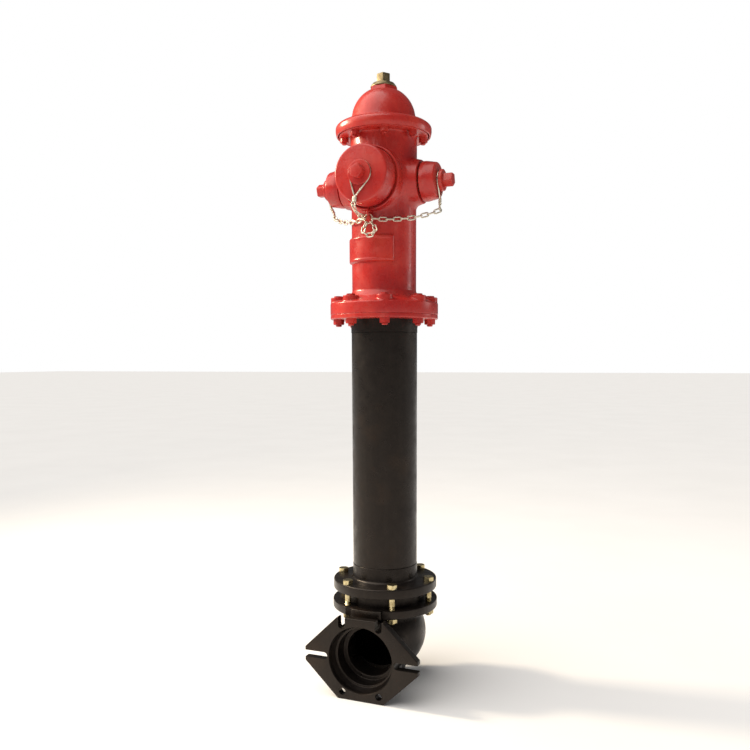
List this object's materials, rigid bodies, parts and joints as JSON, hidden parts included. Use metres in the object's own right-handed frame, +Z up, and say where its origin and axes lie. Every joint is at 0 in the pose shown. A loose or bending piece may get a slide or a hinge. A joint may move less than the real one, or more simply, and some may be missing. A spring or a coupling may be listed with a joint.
{
  "type": "dry barrel fire hydrant",
  "caption": "Dry barrel fire hydrant: black shoe and standpipe for burial, red barrel with capped pumper and hose outlets on chains, domed bonnet and five-sided operating nut.",
  "frame": {"origin": "on the barrel's axis, in the plane of the foot pad under the shoe, which is the part's lowest plane", "axes": "+Z up the barrel; -Y out of the pumper outlet and the supply inlet; +X out of the right hose outlet as seen from the pumper side"},
  "size_m": [0.44, 0.379, 1.878],
  "materials": {
    "red_paint": "gloss alkyd enamel over cast iron, brushed on",
    "black_paint": "glossy bituminous paint over cast iron",
    "bronze": "machined and weathered bronze",
    "plated_steel": "zinc and yellow chromate plated steel",
    "red_steel": "steel bolts painted over with the body",
    "stem_steel": "turned steel bar",
    "chain_steel": "dull galvanised wire",
    "rubber": "matte moulded rubber"
  },
  "bodies": {
    "hydrant": {"shoe": "black_paint", "drain_ring": "black_paint", "seat_ring": "bronze", "drain_ring_seal_upper": "rubber", "drain_ring_seal_lower": "rubber", "standpipe_flange": "black_paint", "standpipe": "black_paint", "standpipe_collar": "black_paint", "break_ring": "red_paint", "barrel_gasket": "rubber", "shoe_bolts": "plated_steel", "shoe_nuts": "plated_steel", "break_bolts": "red_steel", "break_nuts": "red_steel", "upper_barrel": "red_paint", "seal_plate": "bronze", "bonnet_gasket": "rubber", "bonnet": "red_paint", "bonnet_bolts": "red_steel", "bonnet_nuts": "red_steel", "hold_down_nut": "bronze", "weather_seal": "rubber", "thrust_washer": "bronze", "stem_seals": "rubber", "pumper_nozzle": "bronze", "pumper_nozzle_seal": "rubber", "hose_nozzle_right": "bronze", "hose_nozzle_seal_right": "rubber", "hose_nozzle_left": "bronze", "hose_nozzle_seal_left": "rubber", "nozzle_screws": "stem_steel", "chain_anchor": "chain_steel", "chain_pumper": "chain_steel", "chain_right": "chain_steel", "chain_left": "chain_steel", "chain_slack": "chain_steel"},
    "operating_nut": {"operating_nut": "bronze"},
    "stem": {"upper_stem": "stem_steel", "stem_coupling": "stem_steel", "coupling_pins": "bronze", "lower_stem": "stem_steel", "drain_valve": "bronze", "drain_facings": "rubber", "main_valve": "rubber", "lower_valve_plate": "black_paint", "stem_cap_nut": "bronze"},
    "pumper_carrier": {"pumper_chain_ring": "chain_steel"},
    "pumper_cap": {"pumper_cap": "red_paint", "pumper_cap_gasket": "rubber"},
    "hose_carrier_right": {"hose_chain_ring_right": "chain_steel"},
    "hose_cap_right": {"hose_cap_right": "red_paint", "hose_cap_gasket_right": "rubber"},
    "hose_carrier_left": {"hose_chain_ring_left": "chain_steel"},
    "hose_cap_left": {"hose_cap_left": "red_paint", "hose_cap_gasket_left": "rubber"}
  },
  "joints": [
    {"name": "operating_nut_turn", "type": "hinge", "parent": "hydrant", "child": "operating_nut", "pos_m": [0, 0, 1.864], "axis": [0, 0, 1], "range_deg": [0, 3240]},
    {"name": "stem_slide", "type": "slide", "parent": "hydrant", "child": "stem", "axis": [0, 0, -1], "range_m": [0, 0.05715]},
    {"name": "pumper_cap_travel", "type": "slide", "parent": "hydrant", "child": "pumper_carrier", "axis": [0, -1, 0], "range_m": [0, 0.0318], "deforming": ["chain_pumper"]},
    {"name": "pumper_cap_turn", "type": "hinge", "parent": "pumper_carrier", "child": "pumper_cap", "pos_m": [0, -0.179, 1.556], "axis": [0, -1, 0], "range_deg": [0, 1800]},
    {"name": "hose_cap_right_travel", "type": "slide", "parent": "hydrant", "child": "hose_carrier_right", "axis": [1, 0, 0], "range_m": [0, 0.0306], "deforming": ["chain_right"]},
    {"name": "hose_cap_right_turn", "type": "hinge", "parent": "hose_carrier_right", "child": "hose_cap_right", "pos_m": [0.175, 0, 1.556], "axis": [1, 0, 0], "range_deg": [0, 3240]},
    {"name": "hose_cap_left_travel", "type": "slide", "parent": "hydrant", "child": "hose_carrier_left", "axis": [-1, 0, 0], "range_m": [0, 0.0306], "deforming": ["chain_left"]},
    {"name": "hose_cap_left_turn", "type": "hinge", "parent": "hose_carrier_left", "child": "hose_cap_left", "pos_m": [-0.175, 0, 1.556], "axis": [-1, 0, 0], "range_deg": [0, 3240]}
  ],
  "couplings": [
    {"joint": "operating_nut_turn", "follows": "stem_slide", "rad_per_m": 989.48},
    {"joint": "pumper_cap_travel", "follows": "pumper_cap_turn", "m_per_rad": 0.0010106},
    {"joint": "hose_cap_right_travel", "follows": "hose_cap_right_turn", "m_per_rad": 0.00053901},
    {"joint": "hose_cap_left_travel", "follows": "hose_cap_left_turn", "m_per_rad": 0.00053901}
  ]
}
